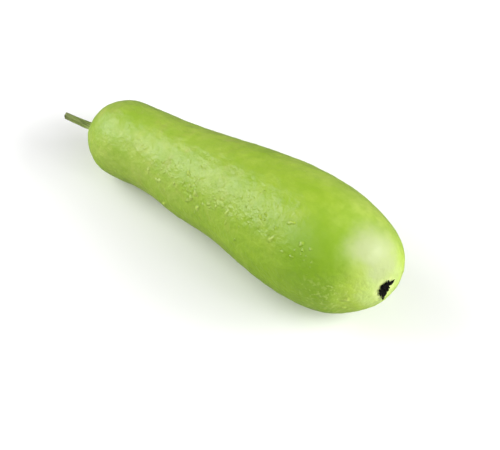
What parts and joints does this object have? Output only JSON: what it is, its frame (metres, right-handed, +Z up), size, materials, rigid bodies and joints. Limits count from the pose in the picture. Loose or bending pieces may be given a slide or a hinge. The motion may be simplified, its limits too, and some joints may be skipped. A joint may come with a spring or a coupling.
{
  "type": "bottle gourd",
  "caption": "Long club-shaped bottle gourd lying on its side, with a slim neck, a cut ridged stem and the dried blossom at its blunt end.",
  "frame": {"origin": "bottom centre of the whole gourd's box, on the surface it lies on", "axes": "+X along the gourd from the stem to the blossom end, +Z up from the surface"},
  "size_m": [0.3138, 0.096, 0.0965],
  "materials": {
    "skin": "satin, faintly pimpled light green skin",
    "stem": "matt, fibrous olive green",
    "dried_blossom": "matt, withered, almost black"
  },
  "bodies": {
    "root": {"fruit": "skin", "stem": "stem", "dried_blossom": "dried_blossom"}
  },
  "joints": []
}
